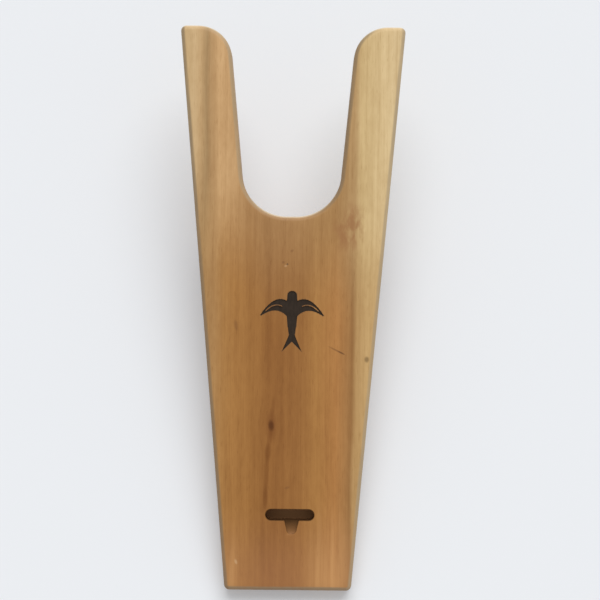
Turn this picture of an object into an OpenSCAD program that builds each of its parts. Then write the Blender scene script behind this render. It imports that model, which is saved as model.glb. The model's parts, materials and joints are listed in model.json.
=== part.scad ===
// Wooden boot jack: a tapered board with a heel notch, propped up on a cross riser.
//
// The jack stands on the floor plane z = 0. Its mid-line is x = 0, its notched end is raised
// towards +Y, and the origin is the middle of its footprint. Shapes on the board are drawn flat,
// with y as the distance from the tail end, and then tilted into place.

/* [Board] */
// Length of the board
board_length = 375; // [360:5:400]
// Width across the tips of the two prongs
tip_width = 150; // [146:1:166]
// Width at the tail end
tail_width = 84; // [80:1:90]
// Thickness of the board
board_thickness = 18; // [17:0.5:22]
// Slope of the board above the floor, in degrees
tilt = 11; // [10:0.5:12]
// How far the underside is planed flat to the floor at the tail
tail_flat = 14; // [10:1:20]
// Radius of the rounded top edge
edge_radius = 3.5; // [2.5:0.5:4.5]
// Radius of the lightly broken bottom edge
bottom_radius = 1.5; // [1:0.5:2]

/* [Heel notch] */
// Depth of the notch from the prong tips
notch_depth = 126.5; // [120:0.5:130]
// Radius of the two rounded corners at the bottom of the notch
notch_radius = 30; // [27:0.5:31]
// Width of the flat stretch between those corners
notch_floor = 6.4; // [4:0.2:10]
// Radius of the large inner curve at each prong tip
prong_radius = 22.5; // [20:0.5:24]
// Distance of that curve's centre from the mid-line
prong_offset = 63; // [61:0.5:64]

/* [Hanging slot] */
// Length of the slot's cross bar
slot_length = 32.5; // [28:0.5:36]
// Width of the cross bar
slot_width = 7.6; // [6:0.2:9]
// Depth of the cross bar
slot_depth = 13; // [9:0.5:14]
// Distance of the cross bar's centre from the tail end
slot_along = 50.3; // [44:0.1:56]
// Width of the stem where it leaves the cross bar
stem_width = 9; // [7:0.5:10]
// Width of the stem's rounded end
stem_end_width = 6.6; // [5:0.2:7]
// Length of the stem, whose floor slopes up to the face
stem_length = 8.8; // [6:0.2:11]
// Depth of the stem where it leaves the cross bar
stem_depth = 7; // [5:0.5:8]

/* [Burnt bird] */
// Depth of the burnt engraving
burn_depth = 0.5; // [0.3:0.1:0.8]
// Distance of the bird's centre from the tail end
bird_along = 182; // [175:1:188]
// Width of the fine lines of bare wood left inside the bird
fine_line = 0.8; // [0.6:0.1:1.2]

/* [Riser and fixings] */
// Distance of the riser's middle from the tail end
riser_along = 221; // [219:1:224]
// Thickness of the riser along the board
riser_thickness = 26; // [24:1:30]
// How far the riser's ends stand in from the board's sides
riser_inset = 5; // [3:0.5:10]
// Radius of the riser's upright corners
riser_corner = 3; // [1:0.5:5]
// Distance of each screw from the mid-line
screw_offset = 36; // [30:1:42]
// Length of a screw
screw_length = 42; // [40:1:44]
// Diameter of a screw's shank
screw_diameter = 4.5; // [4:0.5:5]

/* [Hidden] */
$fn = 64;
clear = 1;                       // how far a cutting shape runs past the surface it cuts
overrun = 4;                     // how far a cut along an edge runs past an outer corner
// Straight stretches cross the circles next to them this deep instead of just touching them, so
// that each cut along an edge ends inside its neighbour
cross = 0.1;
graze = 0.05;                    // the same between a rounded edge and the faces beside it

wood = [0.72, 0.52, 0.30];
riser_wood = [0.66, 0.47, 0.27];
steel = [0.55, 0.56, 0.58];

// Half the board's width at a distance from the tail end
taper = (tip_width - tail_width) / 2 / board_length;
function side_x(along) = tail_width / 2 + along * taper;

// Notch: a straight wall joins the bottom corner's circle to the prong's inner curve
notch_end = board_length - notch_depth;
notch_centre = [notch_floor / 2, notch_end + notch_radius - cross];
prong_centre = [prong_offset, board_length - prong_radius + cross];
centre_gap = prong_centre - notch_centre;
wall_turn = atan2(centre_gap.y, centre_gap.x)
    - acos((notch_radius + prong_radius - 2 * cross) / norm(centre_gap));
wall_normal = [cos(wall_turn), sin(wall_turn)];
wall_way = [-sin(wall_turn), cos(wall_turn)];
wall_low = notch_centre + (notch_radius - cross) * wall_normal;
wall_high = prong_centre - (prong_radius - cross) * wall_normal;

// Straight stretches of the outline, each with the wood on its left
side_way = [taper, 1];
middle_edges = [
    [[-side_x(0) - overrun, 0], [side_x(0) + overrun, 0]],
    [[notch_centre.x, notch_end], [-notch_centre.x, notch_end]]
];
side_edges = [
    [[side_x(0), 0] - overrun * side_way, [side_x(board_length), board_length] + overrun * side_way],
    [[side_x(board_length) + overrun, board_length], [prong_centre.x - overrun, board_length]],
    [wall_high + overrun * wall_way, wall_low]
];

// Where the tilted board lies in the finished frame
tail_reach = edge_radius * cos(tilt) - (board_thickness - edge_radius) * sin(tilt) - edge_radius;
tip_reach = (board_length - bottom_radius) * cos(tilt) - bottom_radius * sin(tilt) + bottom_radius;
frame_shift = [0, -(tail_reach + tip_reach) / 2, -tail_flat * sin(tilt)];

// The slot and the bird sit slightly right of the mid-line
slot_shift = 1;
stem_shift = 2.2;
bird_shift = 1.1;
stem_end = slot_along - slot_width / 2 - stem_length;

// Riser and fixings. A screw comes up through the riser and bites into the board.
riser_half = side_x(riser_along) - riser_inset;
riser_deep = riser_along * tan(tilt) + riser_thickness;   // more than reaches the floor
screw_bite = 12;
screw_point = 5;
screw_radius = screw_diameter / 2;
screw_head_radius = screw_diameter;
screw_head_height = screw_radius * 1.1;
screw_clearance = 0.25;
driver_slot = [screw_head_radius * 1.1, 1, 1.8];   // length, width and depth in the screw's head
counterbore_radius = screw_head_radius + 0.8;
point_flat = 0.2;                // radius of the tiny flat that ends each screw's and pin's point
// A panel pin driven through the board locates the riser. Its head is punched below the face.
pin_spot = [-2.3, 216.7];
pin_radius = 0.8;
pin_head_radius = 1.2;
pin_head_height = 0.9;
pin_sunk = 0.8;
pin_length = 38;
pin_point = 2;

// ---- Shared shapes ----

// Tilts what is drawn on the flat board into its standing place
module standing() {
    translate(frame_shift) rotate([tilt, 0, 0]) children();
}

module both_sides() {
    for (side = [0, 1]) mirror([side, 0, 0]) children();
}

module under_floor() {
    translate([-board_length, -board_length, -board_length])
        cube([2 * board_length, 2 * board_length, board_length]);
}

// What a round-over takes off a square edge at the origin, with the wood towards -x and -y
module round_over(radius) {
    difference() {
        translate([-radius, -radius]) square(radius + clear);
        translate([graze - radius, graze - radius]) circle(radius);
    }
}

module round_straight(from, to, radius) {
    run = to - from;
    translate([from.x, from.y, 0])
        rotate([0, 0, atan2(run.y, run.x) - 90])
        rotate([90, 0, 0])
        translate([0, 0, -norm(run)])
        linear_extrude(norm(run)) round_over(radius);
}

// Rounds the edge of the whole outline where the board's upper face is at height 0
module round_outline(radius) {
    for (e = middle_edges) round_straight(e[0], e[1], radius);
    both_sides() {
        for (e = side_edges) round_straight(e[0], e[1], radius);
        translate(notch_centre) rotate_extrude()
            translate([notch_radius, 0]) mirror([1, 0]) round_over(radius);
        translate(prong_centre) rotate([0, 0, 90]) rotate_extrude(angle = 90 + wall_turn)
            translate([prong_radius, 0]) round_over(radius);
    }
}

// ---- Board ----

module notch_plan() {
    both_sides() difference() {
        union() {
            polygon([
                [0, notch_end], [notch_centre.x, notch_end], notch_centre, wall_low, wall_high,
                prong_centre, [prong_centre.x, board_length + clear], [0, board_length + clear]
            ]);
            translate(notch_centre) circle(notch_radius);
        }
        translate(prong_centre) circle(prong_radius);
    }
}

module blank() {
    difference() {
        linear_extrude(board_thickness) difference() {
            polygon([
                [side_x(0), 0], [side_x(board_length), board_length],
                [-side_x(board_length), board_length], [-side_x(0), 0]
            ]);
            notch_plan();
        }
        translate([0, 0, board_thickness]) round_outline(edge_radius);
        mirror([0, 0, 1]) round_outline(bottom_radius);
    }
}

// T-shaped slot, cut down from height 0. The floor of its stem slopes up to the face.
module slot_cut() {
    translate([slot_shift, slot_along, -slot_depth]) linear_extrude(slot_depth + clear) {
        bar = slot_length - slot_width;
        square([bar, slot_width], center = true);
        for (end = [-1, 1]) translate([end * bar / 2, 0]) circle(slot_width / 2);
    }
    intersection() {
        translate([stem_shift, 0, -stem_depth]) linear_extrude(stem_depth + clear) {
            round_end = stem_end + stem_end_width / 2;
            polygon([
                [-stem_end_width / 2, round_end], [stem_end_width / 2, round_end],
                [stem_width / 2, slot_along], [-stem_width / 2, slot_along]
            ]);
            translate([0, round_end]) circle(stem_end_width / 2);
        }
        rotate([90, 0, 90]) linear_extrude(slot_length, center = true) polygon([
            [stem_end, 0], [slot_along - slot_width / 2, -stem_depth], [slot_along, -stem_depth],
            [slot_along, clear], [stem_end, clear]
        ]);
    }
}

// A curve from a to c that heads for b
function bend(a, b, c, steps = 8) =
    [for (i = [0 : steps]) let (u = i / steps) (1 - u) * (1 - u) * a + 2 * u * (1 - u) * b + u * u * c];

// A fine line of bare wood along such a curve
module bare_line(a, b, c) {
    side = fine_line / 2 * [a.y - c.y, c.x - a.x] / norm(c - a);
    polygon(concat(bend(a + side, b + side, c + side), bend(c - side, b - side, a - side)));
}

// Plain flying bird with spread wings and a forked tail, 42 wide and 40 tall, round its own centre
module bird_plan() {
    right = concat(
        bend([0, 17], [3.4, 17], [3.2, 12.5]),          // head
        bend([3.6, 10.5], [12, 15], [21, 1]),           // front of the wing
        bend([20.4, 0.6], [10.5, 7.5], [3.6, 0.5]),     // back of the wing
        bend([3.2, -2], [2.6, -9], [1.8, -12]),         // body
        [[6.5, -23], [0, -16.5]]                        // forked tail
    );
    left = [for (i = [len(right) - 2 : -1 : 1]) [-right[i].x, right[i].y]];
    difference() {
        polygon(concat(right, left));
        both_sides() bare_line([6.5, 6.8], [12, 9.6], [17.6, 3.6]);
    }
}

// The panel pin's own shape, standing on its point
module pin_shape() {
    rotate_extrude() polygon([
        [0, 0], [point_flat, 0], [pin_radius, pin_point], [pin_radius, pin_length - pin_head_height],
        [pin_head_radius, pin_length - pin_head_height], [pin_head_radius, pin_length], [0, pin_length]
    ]);
}

// Puts a pin shape into the board, which is drawn flat
module at_pin() {
    translate([pin_spot.x, pin_spot.y, board_thickness - pin_sunk - pin_length]) children();
}

// A wood screw standing on its head, without its driver recess
module screw_shape() {
    rotate_extrude() polygon([
        [0, 0], [screw_head_radius, 0], [screw_radius, screw_head_height],
        [screw_radius, screw_length - screw_point], [point_flat, screw_length], [0, screw_length]
    ]);
}

// Puts a screw shape under the board, on both sides
module at_screws() {
    for (side = [-1, 1])
        translate([side * screw_offset, riser_along, screw_bite - screw_length]) children();
}

module board() {
    color(wood) difference() {
        standing() difference() {
            blank();
            translate([0, 0, board_thickness]) slot_cut();
            translate([bird_shift, bird_along, board_thickness - burn_depth])
                linear_extrude(burn_depth + clear) bird_plan();
            at_pin() {
                pin_shape();
                translate([0, 0, pin_length]) cylinder(r = pin_head_radius, h = pin_sunk + clear);
            }
            at_screws() screw_shape();
        }
        under_floor();
    }
}

// ---- Riser and its fixings ----

module riser_plan() {
    corner = [riser_half - riser_corner, riser_thickness / 2 - riser_corner];
    square([2 * riser_half, 2 * corner.y], center = true);
    square([2 * corner.x, riser_thickness], center = true);
    for (x = [-1, 1], y = [-1, 1]) translate([x * corner.x, y * corner.y]) circle(riser_corner);
}

module riser() {
    color(riser_wood) difference() {
        standing() difference() {
            translate([0, riser_along, -riser_deep]) linear_extrude(riser_deep) riser_plan();
            at_pin() pin_shape();
            at_screws() {
                cylinder(r1 = screw_head_radius, r2 = screw_radius, h = screw_head_height);
                cylinder(r = screw_radius + screw_clearance, h = screw_length);
                translate([0, 0, -riser_deep]) cylinder(r = counterbore_radius, h = riser_deep);
            }
        }
        under_floor();
    }
}

module riser_screws() {
    color(steel) standing() at_screws() difference() {
        screw_shape();
        for (turn = [0, 90]) rotate([0, 0, turn])
            cube([driver_slot.x, driver_slot.y, 2 * driver_slot.z], center = true);
    }
}

module riser_pin() {
    color(steel) standing() at_pin() pin_shape();
}

board();
riser();
riser_screws();
riser_pin();
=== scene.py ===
"""Wooden boot jack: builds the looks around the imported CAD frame."""
import json
import math

import bmesh
import bpy
from mathutils import Matrix, Vector, noise
from mathutils.geometry import delaunay_2d_cdt


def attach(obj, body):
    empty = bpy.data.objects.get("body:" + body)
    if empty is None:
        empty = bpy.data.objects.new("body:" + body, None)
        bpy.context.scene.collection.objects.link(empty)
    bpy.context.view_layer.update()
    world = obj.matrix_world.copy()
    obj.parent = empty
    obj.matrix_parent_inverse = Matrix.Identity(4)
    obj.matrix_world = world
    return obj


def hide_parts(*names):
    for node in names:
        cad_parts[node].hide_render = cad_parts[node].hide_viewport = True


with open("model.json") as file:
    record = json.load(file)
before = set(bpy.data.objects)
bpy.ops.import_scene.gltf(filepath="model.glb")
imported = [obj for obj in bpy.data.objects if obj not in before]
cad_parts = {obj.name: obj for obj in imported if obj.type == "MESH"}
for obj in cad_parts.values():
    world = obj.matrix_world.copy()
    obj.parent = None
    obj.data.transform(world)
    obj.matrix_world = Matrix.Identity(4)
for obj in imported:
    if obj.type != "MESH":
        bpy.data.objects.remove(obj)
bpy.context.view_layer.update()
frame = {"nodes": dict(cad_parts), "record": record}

MM = 0.001

# ---- Sizes, in millimetres on the flat board: x from the mid-line, y from the tail end ----

BOARD_LENGTH = 375
TIP_WIDTH = 150
TAIL_WIDTH = 84
BOARD_THICKNESS = 18
EDGE_RADIUS = 3.3
BOTTOM_RADIUS = 1.5
CORNER_RADIUS = 3.6
TAPER = (TIP_WIDTH - TAIL_WIDTH) / 2 / BOARD_LENGTH
TAPER_ANGLE = math.degrees(math.atan(TAPER))

NOTCH_DEPTH = 126.5
NOTCH_RADIUS = 30
NOTCH_FLOOR = 6.4
PRONG_RADIUS = 22.5
PRONG_OFFSET = 63
NOTCH_END = BOARD_LENGTH - NOTCH_DEPTH

SLOT_MIDDLE = Vector((1, 50.3))
SLOT_LENGTH = 32.5
SLOT_WIDTH = 7.6
SLOT_DEPTH = 13
SLOT_SOFTNESS = 0.35
STEM_X = 2.2
STEM_WIDTH = 9
STEM_END_WIDTH = 6.6
STEM_LENGTH = 8.8
STEM_DEPTH = 7
STEM_FILLET = 0.9

BIRD_MIDDLE = Vector((1.1, 182))
BURN_DEPTH = 0.5
FINE_LINE = 0.8

PIN_SPOT = Vector((-2.3, 216.7))
PIN_HEAD_RADIUS = 1.2
PIN_HOLE_RADIUS = 0.6
PIN_HOLE_DEPTH = 1.7
PIN_HOLE_RIM = 0.5

RISER_ALONG = 221
RISER_THICKNESS = 26
RISER_INSET = 5
RISER_CORNER = 3
RISER_EASE = 0.9
COUNTERBORE_RADIUS = 5.3
COUNTERBORE_FLOOR = -30
SCREW_POCKET_RADIUS = 4.6
SCREW_POCKET_DEPTH = 3.2
SCREW_OFFSET = 36

# Growth rings: how far the tree's pith lies to the left of the mid-line and below the board
PITH_ACROSS = 160
PITH_BELOW = 90
RING_WIDTH = 4.2
RING_WANDER = 14
SEASON_CHANGE = 9
# How light end grain is beside long grain, and the powers of light that red, green and blue follow
END_GRAIN = 0.84
WARMTH = (0.8, 1.05, 1.4)
KNOT = Vector((-12, 109.5))
# Values of the "burn" mark on the scorched rim and of the "slot" mark on the slot's deep floor
RIM_BURN = 0.7
PIT_FLOOR = 2
# Marks on the face: (centre, size, turn in degrees, strength, colour)
BOARD_MARKS = (
    (KNOT, (4.6, 13, 30), 2, 0.5, (116, 64, 18)),
    (KNOT, (2.7, 5.2, 30), 4, 0.85, (88, 44, 0)),
    ((-10.8, 122), (1.8, 11, 12), -4, 0.35, (118, 68, 22)),
    ((-12.9, 101), (2.2, 9, 12), -5, 0.4, (118, 66, 18)),
    ((-13.9, 92), (3.0, 8, 12), -4, 0.5, (112, 62, 12)),
    ((-14.8, 78), (2.2, 25, 12), -2, 0.45, (114, 64, 14)),
    ((-15.4, 61), (2.2, 12, 12), 0, 0.5, (110, 60, 10)),
    ((-36, 176), (1.8, 5, 4), 10, 0.4, (120, 78, 40)),
    ((0.7, 225.7), (1.7, 1.2, 2), 30, 0.4, (120, 80, 44)),
    # Beside the pin's dent: painted shade as a dark spot above it, and a painted highlight as a pale
    # crescent on its lower lip.
    ((-5, 218), (1.5, 1.2, 2), 0, 0.4, (118, 78, 44)),
    ((-3.4, 215.6), (1.3, 1.0, 2), 20, 0.7, (196, 154, 110)),
    ((-1, 68.4), (2.6, 1.1, 2), 20, 0.4, (120, 78, 42)),
    ((51, 154), (2.2, 2.8, 2), 0, 0.6, (104, 80, 46)),
    ((31, 159.8), (8.5, 0.8, 1), -26, 0.45, (100, 64, 34)),
    ((34, 158.3), (3.5, 0.8, 1), -26, 0.5, (84, 52, 26)),
    ((-34.5, 19), (1.2, 2.4, 2), 20, 0.5, (214, 180, 138)),
)
# A mottled patch near the right prong: (centre, size)
REDDISH_PATCH = ((39, 241, BOARD_THICKNESS), (14, 21, 9))
# Paler patches near the tail: (centre, size, strength)
PALE_PATCHES = (
    ((27, 8), (19, 66, 30), 0.75),
    ((-38, 8), (8, 40, 30), 0.5),
)

# Edges that bend more than this stay crisp
SMOOTH_ANGLE = math.radians(35)

# Camera: the spot on the board it looks at, its distance in metres, its turn about its own view
CAMERA_AIM = Vector((6.3, 193.1, BOARD_THICKNESS))
CAMERA_DISTANCE = 1.2
CAMERA_TURN = math.radians(0.6)
# The floor's reach each way and its drop below the jack's feet, in metres
FLOOR_REACH = 20
FLOOR_GAP = 0.0002

# The hanging slot's mount gives the board's slope and place
slot_mount = next(m for m in frame["record"]["mounts"] if m["name"] == "hanging_slot")
tilt = math.atan2(-slot_mount["axis"][1], slot_mount["axis"][2])
turn = Matrix.Rotation(tilt, 4, "X")
slot_on_board = Vector((SLOT_MIDDLE.x, SLOT_MIDDLE.y, BOARD_THICKNESS)) * MM
STANDING = Matrix.Translation(Vector(slot_mount["pos_m"]) - turn @ slot_on_board) @ turn
FROM_BOARD = STANDING @ Matrix.Scale(MM, 4)


def side_x(along):
    """Half the board's width at a distance from the tail end."""
    return TAIL_WIDTH / 2 + TAPER * along


def floor_height(along):
    """Height of the floor below the board's underside plane, measured square to the board."""
    drop = STANDING.translation.z / MM + along * math.sin(tilt)
    return -drop / math.cos(tilt)


# ---- Outlines: lists of (point, outward normal), going anticlockwise ----

def direction(degrees):
    return Vector((math.cos(math.radians(degrees)), math.sin(math.radians(degrees))))


def arc(centre, radius, start, end, steps, outward=1):
    """Points along an arc, both ends included."""
    ways = [direction(start + (end - start) * i / steps) for i in range(steps + 1)]
    return [(centre + radius * way, outward * way) for way in ways]


def stretch(start, end, spacing=4.0):
    """Points along a straight edge with the wood on its left, without its two ends."""
    run = end - start
    steps = max(1, round(run.length / spacing))
    normal = Vector((run.y, -run.x)).normalized()
    return [(start + run * i / steps, normal) for i in range(1, steps)]


def mirrored(outline):
    return [(Vector((-p.x, p.y)), Vector((-n.x, n.y))) for p, n in reversed(outline)]


def board_outline():
    """The fork-shaped outline of the board."""
    inset = CORNER_RADIUS / math.cos(math.atan(TAPER))
    tail = Vector((side_x(CORNER_RADIUS) - inset, CORNER_RADIUS))
    tip_y = BOARD_LENGTH - CORNER_RADIUS
    tip = Vector((side_x(tip_y) - inset, tip_y))
    notch = Vector((NOTCH_FLOOR / 2, NOTCH_END + NOTCH_RADIUS))
    prong = Vector((PRONG_OFFSET, BOARD_LENGTH - PRONG_RADIUS))
    gap = prong - notch
    lean = math.acos((NOTCH_RADIUS + PRONG_RADIUS) / gap.length)
    wall = math.degrees(math.atan2(gap.y, gap.x) - lean)
    tail_arc = arc(tail, CORNER_RADIUS, -90, -TAPER_ANGLE, 6)
    tip_arc = arc(tip, CORNER_RADIUS, -TAPER_ANGLE, 90, 6)
    prong_arc = arc(prong, PRONG_RADIUS, 90, 180 + wall, 20)
    notch_arc = arc(notch, NOTCH_RADIUS, wall, -90, 22, outward=-1)
    half = (
        stretch(Vector((0, 0)), tail_arc[0][0]) + tail_arc
        + stretch(tail_arc[-1][0], tip_arc[0][0]) + tip_arc
        + stretch(tip_arc[-1][0], prong_arc[0][0]) + prong_arc
        + stretch(prong_arc[-1][0], notch_arc[0][0]) + notch_arc
    )
    tail_middle = [(Vector((0, 0)), Vector((0, -1)))]
    notch_middle = [(Vector((0, NOTCH_END)), Vector((0, 1)))]
    return tail_middle + half + notch_middle + mirrored(half)


def slot_outline():
    """The T-shaped slot's cross bar and stem, with normals pointing away from the hollow."""
    half_bar = (SLOT_LENGTH - SLOT_WIDTH) / 2
    reach = Vector((half_bar, 0))
    low = SLOT_MIDDLE.y - SLOT_WIDTH / 2
    end_y = low - STEM_LENGTH + STEM_END_WIDTH / 2
    fillets = []
    for side in (-1, 1):
        centre = Vector((STEM_X + side * (STEM_WIDTH / 2 + STEM_FILLET), low - STEM_FILLET))
        start, end = (90, 0) if side < 0 else (180, 90)
        fillets.append(arc(centre, STEM_FILLET, start, end, 4, outward=-1))
    right_bar = arc(SLOT_MIDDLE + reach, SLOT_WIDTH / 2, -90, 90, 12)
    left_bar = arc(SLOT_MIDDLE - reach, SLOT_WIDTH / 2, 90, 270, 12)
    stem_end = arc(Vector((STEM_X, end_y)), STEM_END_WIDTH / 2, 180, 360, 12)
    return right_bar + left_bar, fillets[0] + stem_end + fillets[1]


def circle_outline(centre, radius, steps):
    return arc(centre, radius, 0, 360 * (steps - 1) / steps, steps - 1)


def rounded_rectangle(half_x, half_y, middle_y, radius):
    outline = []
    for start, sx, sy in ((-90, 1, -1), (0, 1, 1), (90, -1, 1), (180, -1, -1)):
        centre = Vector((sx * (half_x - radius), middle_y + sy * (half_y - radius)))
        outline += arc(centre, radius, start, start + 90, 6)
    return outline


# ---- The burnt bird: a plain one with spread wings, made of a few curves ----

def bend(a, b, c, steps=10):
    """A curve from a to c that heads for b."""
    a, b, c = Vector(a), Vector(b), Vector(c)
    shares = [i / steps for i in range(steps + 1)]
    return [(1 - u) ** 2 * a + 2 * u * (1 - u) * b + u * u * c for u in shares]


def bird_outline():
    """The bird's right side, from its head round its wing to its forked tail, and its mirror image."""
    right = (
        bend((0, 17), (3.4, 17), (3.2, 12.5))
        + bend((3.6, 10.5), (12, 15), (21, 1))
        + bend((20.4, 0.6), (10.5, 7.5), (3.6, 0.5))
        + bend((3.2, -2), (2.6, -9), (1.8, -12))
        + [Vector((6.5, -23)), Vector((0, -16.5))]
    )
    left = [Vector((-p.x, p.y)) for p in reversed(right[1:-1])]
    return [BIRD_MIDDLE + p for p in right + left]


def wing_line(side):
    """A fine line of bare wood along one wing."""
    a, b, c = Vector((6.5, 6.8)), Vector((12, 9.6)), Vector((17.6, 3.6))
    out = Vector((a.y - c.y, c.x - a.x)).normalized() * FINE_LINE / 2
    line = bend(a + out, b + out, c + out) + bend(c - out, b - out, a - out)
    return [BIRD_MIDDLE + Vector((side * p.x, p.y)) for p in line]


# ---- Mesh building ----

def triangulate(loops, grid, snap):
    """Fills outlines, and the points between them, with triangles. With each triangle comes the
    list of the outlines it lies in."""
    flat, faces = [], []
    for loop in loops:
        faces.append(list(range(len(flat), len(flat) + len(loop))))
        flat += loop
    points, _, triangles, _, _, sources = delaunay_2d_cdt(flat + grid, [], faces, 0, snap, True)
    return points, list(zip(triangles, sources))


class Wood:
    """A wooden piece built in board millimetres, with the marks its material reads."""

    def __init__(self, name, grain_axes):
        self.name = name
        self.grain_axes = grain_axes
        self.mesh = bmesh.new()
        self.grain = self.mesh.verts.layers.float_vector.new("grain")
        self.marks = {m: self.mesh.verts.layers.float.new(m) for m in ("edge", "burn", "slot")}

    def vertex(self, x, y, z, **marks):
        v = self.mesh.verts.new((x, y, z))
        for mark, value in marks.items():
            v[self.marks[mark]] = value
        return v

    def ring(self, outline, inset, height, **marks):
        """A closed ring: the outline moved in by inset, at a height. Each value may be a function."""
        def at(value, point):
            return value(point) if callable(value) else value

        ring = []
        for point, normal in outline:
            p = point - normal * at(inset, point)
            marks_here = {mark: at(value, p) for mark, value in marks.items()}
            ring.append(self.vertex(p.x, p.y, at(height, p), **marks_here))
        return ring

    def skin(self, rings):
        for low, high in zip(rings, rings[1:]):
            for i in range(len(low)):
                j = (i + 1) % len(low)
                self.mesh.faces.new((low[i], low[j], high[j], high[i]))

    def cap(self, outline, holes, height):
        """Fills an outline with triangles, leaving holes open."""
        points, triangles = triangulate([outline] + holes, [], 1e-5)
        verts = {}
        for triangle, source in triangles:
            if source != [0]:
                continue
            for i in triangle:
                if i not in verts:
                    p = points[i]
                    verts[i] = self.vertex(p.x, p.y, height(p) if callable(height) else height)
            self.mesh.faces.new([verts[i] for i in triangle])

    def finish(self):
        """Welds, stands the mesh in its place and turns it into an object that rides on the root."""
        bm = self.mesh
        bmesh.ops.remove_doubles(bm, verts=bm.verts, dist=1e-4)
        for v in bm.verts:
            v[self.grain] = [v.co[axis] for axis in self.grain_axes]
        bmesh.ops.transform(bm, matrix=FROM_BOARD, verts=bm.verts)
        cut_at_floor(bm)
        bmesh.ops.dissolve_degenerate(bm, dist=1e-7, edges=bm.edges)
        bmesh.ops.recalc_face_normals(bm, faces=bm.faces)
        for face in bm.faces:
            face.smooth = True
        for edge in bm.edges:
            edge.smooth = len(edge.link_faces) == 2 and edge.calc_face_angle(0) < SMOOTH_ANGLE
        data = bpy.data.meshes.new(self.name)
        bm.to_mesh(data)
        bm.free()
        piece = bpy.data.objects.new(self.name, data)
        bpy.context.scene.collection.objects.link(piece)
        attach(piece, "root")
        return piece


def cut_at_floor(bm):
    """Planes off whatever reaches below the floor and closes the cut."""
    everything = bm.verts[:] + bm.edges[:] + bm.faces[:]
    cut = bmesh.ops.bisect_plane(bm, geom=everything, dist=1e-6, plane_co=(0, 0, 0),
                                 plane_no=(0, 0, -1), clear_outer=True)["geom_cut"]
    rim = [e for e in cut if isinstance(e, bmesh.types.BMEdge) and e.is_boundary]
    if rim:
        bmesh.ops.triangle_fill(bm, edges=rim, use_beauty=True, normal=(0, 0, -1))


def quarter_round(radius_at, steps, face, way=1):
    """(inset, height) pairs of a rounded edge, from the side wall to the face it runs into."""
    pairs = []
    for i in range(steps + 1):
        lean = direction(90 * i / steps)
        pairs.append((lambda p, lean=lean: radius_at(p) * (1 - lean.x),
                      lambda p, lean=lean: face - way * radius_at(p) * (1 - lean.y)))
    return pairs


def edge_share(step, steps):
    """1 on the side wall, falling to 0 where the rounded edge meets the face."""
    return direction(90 * step / steps).x


# ---- The board ----

def worn_edge(point):
    """The top edge's radius, a little uneven from hand sanding."""
    wave = noise.noise(Vector((point.x, point.y, 0)) * 0.03)
    return EDGE_RADIUS * (1 + 0.06 * wave)


def even_edge(_point):
    return BOTTOM_RADIUS


def inside_loop(point, loop):
    """Is a point inside a closed outline?"""
    inside = False
    for a, b in zip(loop, loop[1:] + loop[:1]):
        if (a.y > point.y) != (b.y > point.y):
            if point.x < a.x + (b.x - a.x) * (point.y - a.y) / (b.y - a.y):
                inside = not inside
    return inside


def anticlockwise(loop):
    """The same outline, turned round if it goes clockwise."""
    twice_area = sum(a.x * b.y - a.y * b.x for a, b in zip(loop, loop[1:] + loop[:1]))
    return loop if twice_area > 0 else loop[::-1]


def face_grid(step=6):
    """Points spread over the board's face, so that its marks can fade."""
    columns = range(int(-TIP_WIDTH / 2), int(TIP_WIDTH / 2) + 1, step)
    rows = range(0, BOARD_LENGTH + 1, step)
    return [Vector((x + 0.31, y + 0.17)) for x in columns for y in rows]


def bird_grid(step=0.9, reach=26):
    """Closer points round the bird, for the scorched rim of the burning."""
    count = int(reach / step)
    places = range(-count, count + 1)
    return [BIRD_MIDDLE + Vector((i, j)) * step for i in places for j in places]


def top_face(board, rim):
    """The face within its rounded edge, open over the slot and the pin, sunk where the bird is."""
    bar, stem = slot_outline()
    slot_rim = [p + n * SLOT_SOFTNESS for p, n in bar + stem]
    pin_rim = [p for p, _ in circle_outline(PIN_SPOT, PIN_HOLE_RADIUS, 20)]
    holes = [slot_rim, pin_rim]
    bird = [bird_outline(), wing_line(-1), wing_line(1)]
    loops = [rim] + holes + [anticlockwise(loop) for loop in bird]
    burnt = 1 + len(holes)
    grid = [p for p in face_grid() + bird_grid() if inside_loop(p, rim)]
    points, triangles = triangulate(loops, grid, 1e-4)
    level, sunk = [], []
    for triangle, source in triangles:
        if 0 not in source or any(0 < i < burnt for i in source):
            continue
        (sunk if max(source) == burnt else level).append(triangle)
    scorched = {i for triangle in sunk for i in triangle}
    upper = {i: board.vertex(*points[i], BOARD_THICKNESS, burn=RIM_BURN * (i in scorched))
             for triangle in level for i in triangle}
    lower = {i: board.vertex(*points[i], BOARD_THICKNESS - BURN_DEPTH, burn=1) for i in scorched}
    sides = set()
    for triangle in level:
        board.mesh.faces.new([upper[i] for i in triangle])
        sides.update(zip(triangle, triangle[1:] + triangle[:1]))
    for triangle in sunk:
        board.mesh.faces.new([lower[i] for i in triangle])
        for i, j in zip(triangle, triangle[1:] + triangle[:1]):
            if (j, i) in sides:
                board.mesh.faces.new((lower[j], lower[i], upper[i], upper[j]))


def hanging_slot(board):
    """The slot's walls and floors: a deep cross bar and a stem that ramps up to the face."""
    bar, stem = slot_outline()
    low = SLOT_MIDDLE.y - SLOT_WIDTH / 2
    face = BOARD_THICKNESS

    def ramp(p):
        return face - STEM_DEPTH * min(1, (p.y - low + STEM_LENGTH) / STEM_LENGTH)

    pit_outline = bar + [stem[0], stem[-1]]
    pit = board.ring(pit_outline, 0, face - SLOT_DEPTH, slot=PIT_FLOOR)
    board.mesh.faces.new(pit)
    board.skin([pit, board.ring(pit_outline, 0, face - STEM_DEPTH, slot=1)])
    foot = board.ring(bar + stem, 0, ramp, slot=lambda p: (face - ramp(p)) / STEM_DEPTH)
    board.mesh.faces.new(foot[len(bar):])
    lip = board.ring(bar + stem, 0, lambda p: max(face - SLOT_SOFTNESS, ramp(p)), slot=0.3)
    board.skin([foot, lip, board.ring(bar + stem, -SLOT_SOFTNESS, face)])


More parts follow.
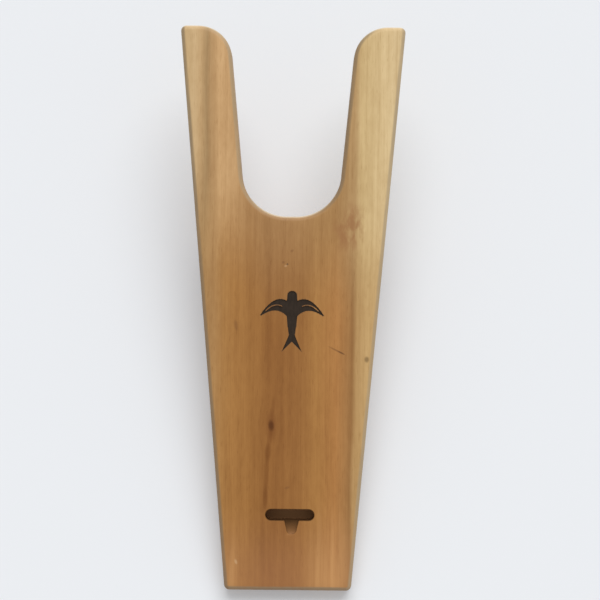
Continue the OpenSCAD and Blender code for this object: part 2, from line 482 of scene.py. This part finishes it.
def pin_hole(board):
    """The small hole over the sunken pin's head, half closed by the wood's fibres."""
    outline = circle_outline(PIN_SPOT, PIN_HOLE_RADIUS, 20)
    widened = PIN_HOLE_RADIUS - PIN_HEAD_RADIUS
    bottom = board.ring(outline, widened, BOARD_THICKNESS - PIN_HOLE_DEPTH, slot=1)
    board.mesh.faces.new(bottom)
    shoulder = board.ring(outline, widened, BOARD_THICKNESS - PIN_HOLE_RIM, slot=1)
    board.skin([bottom, shoulder, board.ring(outline, 0, BOARD_THICKNESS)])


def make_board():
    board = Wood("board_wood", grain_axes=(0, 1, 2))
    outline = board_outline()
    under = quarter_round(even_edge, 3, 0, way=-1)
    over = quarter_round(worn_edge, 7, BOARD_THICKNESS)
    rings = [board.ring(outline, inset, height, edge=0.15) for inset, height in reversed(under)]
    rings.append(board.ring(outline, 0, BOARD_THICKNESS - EDGE_RADIUS - 2, edge=0.15))
    for step, (inset, height) in enumerate(over):
        rings.append(board.ring(outline, inset, height, edge=edge_share(step, len(over) - 1)))
    board.skin(rings)
    top_face(board, [point - normal * worn_edge(point) for point, normal in outline])
    hanging_slot(board)
    pin_hole(board)
    board.cap([point - normal * BOTTOM_RADIUS for point, normal in outline], [], 0)
    piece = board.finish()
    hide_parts("board")
    return piece


# ---- The riser ----

def eased_edge(_point):
    return RISER_EASE


def counterbore(riser, side):
    """A screw's hole in the foot, with a pocket round the screw's head. Gives back its mouth."""
    hole = circle_outline(Vector((side * SCREW_OFFSET, RISER_ALONG)), COUNTERBORE_RADIUS, 28)
    narrowing = COUNTERBORE_RADIUS - SCREW_POCKET_RADIUS
    pocket = riser.ring(hole, narrowing, COUNTERBORE_FLOOR + SCREW_POCKET_DEPTH, slot=0.9)
    riser.mesh.faces.new(pocket)
    shoulder = riser.ring(hole, narrowing, COUNTERBORE_FLOOR, slot=0.6)
    floor = riser.ring(hole, 0, COUNTERBORE_FLOOR, slot=0.6)
    riser.skin([pocket, shoulder, floor, riser.ring(hole, 0, lambda p: floor_height(p.y))])
    return [p for p, _ in hole]


def make_riser():
    riser = Wood("riser_wood", grain_axes=(1, 0, 2))
    half_width = side_x(RISER_ALONG) - RISER_INSET
    outline = rounded_rectangle(half_width, RISER_THICKNESS / 2, RISER_ALONG, RISER_CORNER)
    rings = []
    for inset, lift in reversed(quarter_round(eased_edge, 3, 0, way=-1)):
        def height(point, lift=lift):
            return floor_height(point.y) + lift(point)
        rings.append(riser.ring(outline, inset, height, edge=1))
    riser.skin(rings + [riser.ring(outline, 0, 0)])
    riser.cap([p for p, _ in outline], [], 0)
    holes = [counterbore(riser, side) for side in (-1, 1)]
    foot = [point - normal * RISER_EASE for point, normal in outline]
    riser.cap(foot, holes, lambda p: floor_height(p.y))
    piece = riser.finish()
    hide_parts("riser")
    return piece


# ---- Materials ----

def shade(red, green, blue):
    """A colour given as its 0-255 screen values."""
    def linear(value):
        value /= 255
        return value / 12.92 if value < 0.04 else ((value + 0.055) / 1.055) ** 2.4
    return (linear(red), linear(green), linear(blue), 1)


class Shader:
    """A short way of writing a material: each call adds a node and gives back its output."""

    def __init__(self, name):
        self.material = bpy.data.materials.new(name)
        self.material.use_nodes = True
        self.tree = self.material.node_tree

    def node(self, kind, inputs, output=0, **settings):
        node = self.tree.nodes.new("ShaderNode" + kind)
        for setting, value in settings.items():
            setattr(node, setting, value)
        for socket, value in inputs.items():
            self.plug(node.inputs[socket], value)
        return node.outputs[output]

    def plug(self, socket, value):
        if isinstance(value, bpy.types.NodeSocket):
            self.tree.links.new(value, socket)
        else:
            socket.default_value = value

    def finish(self, **values):
        """Feeds the surface's inputs; underscores stand for spaces in their names."""
        surface = self.tree.nodes["Principled BSDF"]
        for name, value in values.items():
            self.plug(surface.inputs[name.replace("_", " ")], value)
        return self.material

    def mark(self, name, output=2):
        return self.node("Attribute", {}, output, attribute_name=name)

    def math(self, operation, *values):
        return self.node("Math", dict(enumerate(values)), operation=operation)

    def vector(self, operation, *values, output=0):
        return self.node("VectorMath", dict(enumerate(values)), output, operation=operation)

    def split(self, vector):
        """A vector's three numbers."""
        return self.node("SeparateXYZ", {0: vector}).node.outputs

    def facing(self):
        """The way the surface faces, in the standing object's frame."""
        return self.node("NewGeometry", {}, output=1)

    def fade(self, value, start, end, low=0.0, high=1.0):
        """Turns smoothly from low to high while value goes from start to end."""
        inputs = dict(enumerate((value, start, end, low, high)))
        return self.node("MapRange", inputs, interpolation_type="SMOOTHSTEP")

    def mix(self, share, a, b):
        return self.node("Mix", {0: share, 6: a, 7: b}, output=2, data_type="RGBA")

    def scale(self, vector, amount):
        """Multiplies a vector or a colour by one number."""
        return self.node("VectorMath", {0: vector, 3: amount}, operation="SCALE")

    def stain(self, colour, mask, strength, stain_colour):
        """Tints a colour where the mask is 1, as strongly as strength says."""
        return self.mix(self.math("MULTIPLY", mask, strength), colour, shade(*stain_colour))

    def deepen(self, colour, light):
        """Lightens or darkens a wood colour; darker wood is also redder."""
        tint = [self.math("POWER", light, power) for power in WARMTH]
        return self.vector("MULTIPLY", colour, self.node("CombineXYZ", dict(enumerate(tint))))

    def noise(self, place, stretch, detail=3.0):
        """Noise with features about 1/stretch millimetres long along each axis, from 0 to 1."""
        scaled = self.vector("MULTIPLY", place, stretch)
        return self.node("TexNoise", {"Vector": scaled, "Scale": 1.0, "Detail": detail})

    def ramp(self, value, stops):
        """A colour that changes with a value; stops are (value, colour) pairs."""
        node = self.tree.nodes.new("ShaderNodeValToRGB")
        low, high = stops[0][0], stops[-1][0]
        for index, (position, colour) in enumerate(stops):
            share = (position - low) / (high - low)
            last = index == len(stops) - 1
            elements = node.color_ramp.elements
            element = elements[0] if index == 0 else elements[-1] if last else elements.new(share)
            element.position = share
            element.color = shade(*colour)
        self.plug(node.inputs[0], self.node("MapRange", {0: value, 1: low, 2: high}))
        return node.outputs[0]

    def spot(self, place, centre, size, angle=0.0, blur=0.7):
        """A soft-edged ellipsoid: 1 in its middle, 0 outside. Centre and size are in millimetres."""
        local = self.node("Mapping", {
            "Vector": place, "Location": centre, "Scale": size,
            "Rotation": (0, 0, math.radians(angle)),
        }, vector_type="TEXTURE")
        return self.fade(self.vector("LENGTH", local, output=1), 1, 1 - blur)


# Colours across the board, at the prongs and lower down: (distance from the mid-line, colour)
PRONG_COLOURS = (
    (-76, (204, 172, 124)), (-66, (208, 175, 128)), (-61, (200, 164, 116)), (-57, (166, 132, 88)),
    (-54, (188, 149, 101)), (-48, (210, 168, 117)), (-40, (202, 160, 110)), (-28, (172, 129, 81)),
    (0, (168, 125, 77)), (28, (172, 130, 79)), (42, (184, 147, 98)), (47, (206, 175, 122)),
    (62, (220, 191, 141)), (76, (216, 188, 141)),
)
LOWER_COLOURS = (
    (-62, (168, 130, 82)), (-51, (178, 134, 82)), (-45, (172, 123, 66)), (-38, (170, 119, 61)),
    (-26, (160, 109, 53)), (-12, (147, 96, 44)), (6, (154, 103, 50)), (18, (170, 119, 61)),
    (30, (179, 124, 67)), (38, (169, 121, 69)), (41, (151, 107, 59)), (44, (184, 144, 91)),
    (52, (202, 165, 110)), (64, (200, 162, 109)),
)


def growth_rings(s, place):
    """1 in the dark late wood of each growth ring, round a pith that lies outside the board."""
    wander = s.math("MULTIPLY", s.noise(place, (0.012, 0.006, 0.012)), RING_WANDER)
    x, _, z = s.split(place)
    across = s.math("ADD", s.math("ADD", x, PITH_ACROSS), wander)
    depth = s.math("ADD", z, PITH_BELOW)
    distance = s.math("SQRT", s.math("ADD", s.math("POWER", across, 2), s.math("POWER", depth, 2)))
    seasons = s.node("TexNoise", {"W": distance, "Scale": 0.11, "Detail": 2.0}, noise_dimensions="1D")
    uneven = s.math("ADD", distance, s.math("MULTIPLY", seasons, SEASON_CHANGE))
    turn = s.math("FRACT", s.math("DIVIDE", uneven, RING_WIDTH))
    return s.math("MULTIPLY", s.fade(turn, 0.35, 0.95), s.fade(turn, 1.0, 0.94))


def wood_figure(s, place, along):
    """How light the wood is at each spot, round 1, with its fibres and pores. Surfaces that face
    along the grain are darker."""
    streaks = s.noise(place, (0.22, 0.008, 0.22), 5)
    fibres = s.noise(place, (2.2, 0.03, 2.2), 3)
    clouds = s.noise(place, (0.05, 0.02, 0.05), 4)
    mottle = s.noise(place, (0.4, 0.13, 0.4), 4)
    pores = s.fade(s.noise(place, (2.6, 0.14, 2.6), 2), 0.60, 0.74)
    light = s.math("MULTIPLY_ADD", growth_rings(s, place), -0.045, 1.02)
    for part, strength in ((streaks, 0.5), (fibres, 0.26), (clouds, 0.34), (mottle, 0.24)):
        light = s.math("MULTIPLY_ADD", s.math("SUBTRACT", part, 0.5), strength, light)
    light = s.math("MULTIPLY_ADD", pores, -0.2, light)
    facing_end = s.math("ABSOLUTE", s.vector("DOT_PRODUCT", s.facing(), along, output=1))
    return s.math("MULTIPLY", light, s.fade(facing_end, 0.5, 1, 1, END_GRAIN)), fibres, pores


def bent_round_knot(s, flat_place):
    """Where the wood at each spot would be if the grain ran straight past the knot."""
    reach = s.spot(flat_place, (KNOT.x, KNOT.y, BOARD_THICKNESS), (11, 22, 60), blur=1.0)
    x = s.split(flat_place)[0]
    aside = s.math("MULTIPLY", s.math("SUBTRACT", KNOT.x, x), s.math("MULTIPLY", reach, 0.75))
    return s.vector("ADD", flat_place, s.node("CombineXYZ", {0: aside}))


def colour_zones(s, flat_place, place):
    """Zones that run with the grain and shift a little from side to side. The prongs' paler colour,
    partly paler wood and partly painted light from above, reaches further down on the right than on
    the left."""
    x, y, _ = s.split(flat_place)
    shift = s.math("MULTIPLY_ADD", s.noise(place, (0.05, 0.008, 0.05)), 6, -3)
    across = s.math("ADD", s.split(place)[0], shift)
    lower_left = s.fade(x, -50, -10, -30, 0)
    prongs = s.fade(s.math("ADD", y, lower_left), 172, 262)
    return s.mix(prongs, s.ramp(across, LOWER_COLOURS), s.ramp(across, PRONG_COLOURS))


def face_marks(s, colour, flat_place, place):
    """The paler tail, a reddish mottled patch near the right prong, the knot and smaller marks, among
    them painted shade and a painted highlight beside the pin's dent.
    """
    y = s.split(flat_place)[1]
    colour = s.stain(colour, s.fade(y, 60, 5), 0.2, (197, 140, 104))
    broken = s.fade(s.noise(place, (0.26, 0.11, 0.26), 5), 0.36, 0.64)
    patch = s.spot(flat_place, *REDDISH_PATCH, angle=-10)
    colour = s.stain(colour, s.math("MULTIPLY", patch, broken), 0.65, (155, 104, 62))
    for centre, size, angle, strength, mark_colour in BOARD_MARKS:
        mask = s.spot(flat_place, (*centre, BOARD_THICKNESS), size, angle)
        colour = s.stain(colour, mask, strength, mark_colour)
    streaky = s.fade(s.noise(place, (0.28, 0.01, 0.28), 4), 0.3, 0.65, 0.25, 1)
    for centre, size, strength in PALE_PATCHES:
        mask = s.spot(place, (*centre, BOARD_THICKNESS), size, blur=1.0)
        colour = s.stain(colour, s.math("MULTIPLY", mask, streaky), strength, (208, 156, 100))
    return colour


def edge_grime_and_painted_light(s, colour, place):
    """Greys the rounded edge with grime from handling, deepened by painted shade where the edge faces
    sideways or towards the tail, more on the left than the right; paints a pale highlight where it
    faces the prong tips.
    """
    edge = s.mark("edge")
    normal_x, normal_y, _ = s.split(s.facing())
    outward = s.math("MAXIMUM", s.math("ABSOLUTE", normal_x), s.math("MULTIPLY", normal_y, -1))
    patchy = s.fade(s.noise(place, (0.2, 0.03, 0.2), 4), 0.2, 0.7, 0.6, 1.0)
    # Grime, and painted shade on the edges that face away from the light: sideways and towards the
    # tail.
    edge_darkening = s.math("MULTIPLY", s.fade(edge, 0, 0.35), s.fade(outward, 0.05, 0.5, 0.1, 1.0))
    edge_darkening = s.math("MULTIPLY", s.math("MULTIPLY", edge_darkening, patchy), 0.8)
    # The grime's grey also holds painted shade and light: darker on left-facing edges, paler on
    # right-facing ones.
    grey_and_painted_side_shade = s.mix(s.fade(normal_x, -0.3, 0.3), shade(134, 116, 92), shade(172, 152, 122))
    colour = s.mix(edge_darkening, colour, grey_and_painted_side_shade)
    # A painted highlight on the edges that face the prong tips, towards the light.
    painted_tip_highlight = s.math("MULTIPLY", s.fade(edge, 0.1, 0.9), s.fade(normal_y, 0.3, 0.9))
    return s.stain(colour, painted_tip_highlight, 0.75, (228, 212, 184))


def painted_shade_in_hollows(s, colour, slot, shadowed):
    """Paints shade into the slot and the pin's hole. The slot's deep floor catches a little more
    light, so its painted shade is paler.
    """
    inside = s.mix(s.math("SUBTRACT", slot, 1), shade(72, 50, 30), shade(168, 126, 88))
    return s.mix(s.math("MULTIPLY", shadowed, 0.92), colour, inside)


def burnt_marks(s, colour, place, burn):
    """Chars the sunken bird and scorches the wood along its rim."""
    colour = s.stain(colour, s.fade(burn, 0, RIM_BURN), 0.72, (92, 72, 56))
    char = s.mix(s.noise(place, (0.5, 0.2, 0.5), 4), shade(40, 34, 29), shade(66, 55, 46))
    return s.mix(s.fade(burn, RIM_BURN, 1), colour, char)


def board_material():
    s = Shader("board_wood")
    flat_place = s.mark("grain", output=1)
    place = bent_round_knot(s, flat_place)
    light, fibres, pores = wood_figure(s, place, (0, 1, 0))
    burn, slot = s.mark("burn"), s.mark("slot")
    shadowed = s.math("POWER", s.math("MINIMUM", slot, 1), 0.4)

    colour = s.deepen(colour_zones(s, flat_place, place), light)
    colour = face_marks(s, colour, flat_place, place)
    colour = edge_grime_and_painted_light(s, colour, place)
    colour = painted_shade_in_hollows(s, colour, slot, shadowed)
    colour = burnt_marks(s, colour, place, burn)

    bare = s.math("MAXIMUM", burn, shadowed)
    roughness = s.math("MULTIPLY_ADD", bare, 0.35, s.math("MULTIPLY_ADD", fibres, 0.16, 0.40))
    sheen = s.math("MULTIPLY_ADD", bare, -0.2, 0.28)
    relief = s.math("SUBTRACT", s.math("MULTIPLY", fibres, 0.4), pores)
    bump = s.node("Bump", {"Strength": 0.25, "Distance": 0.00006, "Height": relief})
    return s.finish(Base_Color=colour, Roughness=roughness, Normal=bump, Specular_IOR_Level=sheen)


def riser_material():
    s = Shader("riser_wood")
    place = s.mark("grain", output=1)
    light, fibres, pores = wood_figure(s, place, (1, 0, 0))
    warm = s.noise(place, (0.05, 0.01, 0.05))
    colour = s.deepen(s.mix(warm, shade(150, 103, 60), shade(186, 140, 90)), light)
    edge_darkening = s.math("MULTIPLY", s.mark("edge"), s.noise(place, (0.1, 0.05, 0.1)))
    colour = s.mix(edge_darkening, colour, shade(98, 78, 56))
    # Painted shade in the screw holes and their pockets, as strong as the slot mark says.
    colour = s.mix(s.mark("slot"), colour, shade(60, 44, 30))
    bump = s.node("Bump", {"Strength": 0.35, "Distance": 0.00008,
                           "Height": s.math("SUBTRACT", fibres, pores)})
    roughness = s.math("MULTIPLY_ADD", fibres, 0.15, 0.5)
    return s.finish(Base_Color=colour, Roughness=roughness, Normal=bump)


def steel_material(name, bright, dull):
    s = Shader(name)
    place = s.scale(s.node("TexCoord", {}, output=3), 1 / MM)
    clouds = s.noise(place, (0.5, 0.5, 0.5), 4)
    scuffs = s.noise(place, (6, 1.2, 3), 3)
    colour = s.mix(s.fade(clouds, 0.35, 0.7), shade(*bright), shade(*dull))
    roughness = s.math("MULTIPLY_ADD", scuffs, 0.3, 0.22)
    bump = s.node("Bump", {"Strength": 0.2, "Distance": 0.00003, "Height": scuffs})
    return s.finish(Base_Color=colour, Metallic=1.0, Roughness=roughness, Normal=bump)


def finish_steel(node, material):
    """Gives a metal node of the CAD frame its material, and shades its turned sides smooth."""
    steel = frame["nodes"][node]
    steel.data.materials.clear()
    steel.data.materials.append(material)
    steel.data.shade_smooth()
    soften = steel.modifiers.new("crisp_edges", "EDGE_SPLIT")
    soften.split_angle = SMOOTH_ANGLE


# ---- Floor, light and camera ----

def make_floor():
    """Pale paper that glows a little, which keeps the shadows on it faint."""
    data = bpy.data.meshes.new("floor")
    around = ((-1, -1), (1, -1), (1, 1), (-1, 1))
    corners = [(x * FLOOR_REACH, y * FLOOR_REACH, -FLOOR_GAP) for x, y in around]
    data.from_pydata(corners, [], [(0, 1, 2, 3)])
    paper = shade(212, 214, 217)
    surface = Shader("floor_paper").finish(Base_Color=paper, Roughness=0.9, Emission_Color=paper,
                                           Emission_Strength=0.25)
    data.materials.append(surface)
    floor = bpy.data.objects.new("floor", data)
    bpy.context.scene.collection.objects.link(floor)


def soft_key_light():
    """A very soft light from above the notched end."""
    data = bpy.data.lights.new("key", "SUN")
    data.energy = 2.1
    data.angle = math.radians(50)
    light = bpy.data.objects.new("key", data)
    light.rotation_euler = Vector((0.15, 1.0, 1.25)).to_track_quat("Z", "Y").to_euler()
    bpy.context.scene.collection.objects.link(light)


def make_camera():
    """Square to the board's face, far enough away to see little perspective."""
    data = bpy.data.cameras.new("camera")
    data.sensor_width = 36
    data.lens = 108.5
    camera = bpy.data.objects.new("camera", data)
    back = (STANDING.to_3x3() @ Vector((0, 0, 1))).normalized()
    up = STANDING.to_3x3() @ Vector((-math.sin(CAMERA_TURN), math.cos(CAMERA_TURN), 0))
    place = FROM_BOARD @ CAMERA_AIM + back * CAMERA_DISTANCE
    axes = Matrix((up.cross(back), up, back)).transposed().to_4x4()
    camera.matrix_world = Matrix.Translation(place) @ axes
    bpy.context.scene.collection.objects.link(camera)
    bpy.context.scene.camera = camera


def pale_surroundings():
    """Even light from all round; the camera sees it as bright as the floor."""
    world = bpy.data.worlds.new("studio")
    world.use_nodes = True
    tree = world.node_tree
    background = tree.nodes["Background"]
    background.inputs["Color"].default_value = (0.98, 0.99, 1.0, 1)
    brightness = tree.nodes.new("ShaderNodeMapRange")
    brightness.inputs["To Min"].default_value = 0.5
    brightness.inputs["To Max"].default_value = 0.87
    seen = tree.nodes.new("ShaderNodeLightPath").outputs["Is Camera Ray"]
    tree.links.new(seen, brightness.inputs["Value"])
    tree.links.new(brightness.outputs["Result"], background.inputs["Strength"])
    bpy.context.scene.world = world


# ---- Everything in its place ----

board_piece = make_board()
board_piece.data.materials.append(board_material())
riser_piece = make_riser()
riser_piece.data.materials.append(riser_material())
finish_steel("riser_screws", steel_material("screw_steel", (196, 192, 180), (150, 146, 136)))
finish_steel("riser_pin", steel_material("pin_steel", (206, 168, 128), (166, 126, 90)))
make_floor()
soft_key_light()
pale_surroundings()
make_camera()
bpy.context.scene.view_settings.view_transform = "Standard"
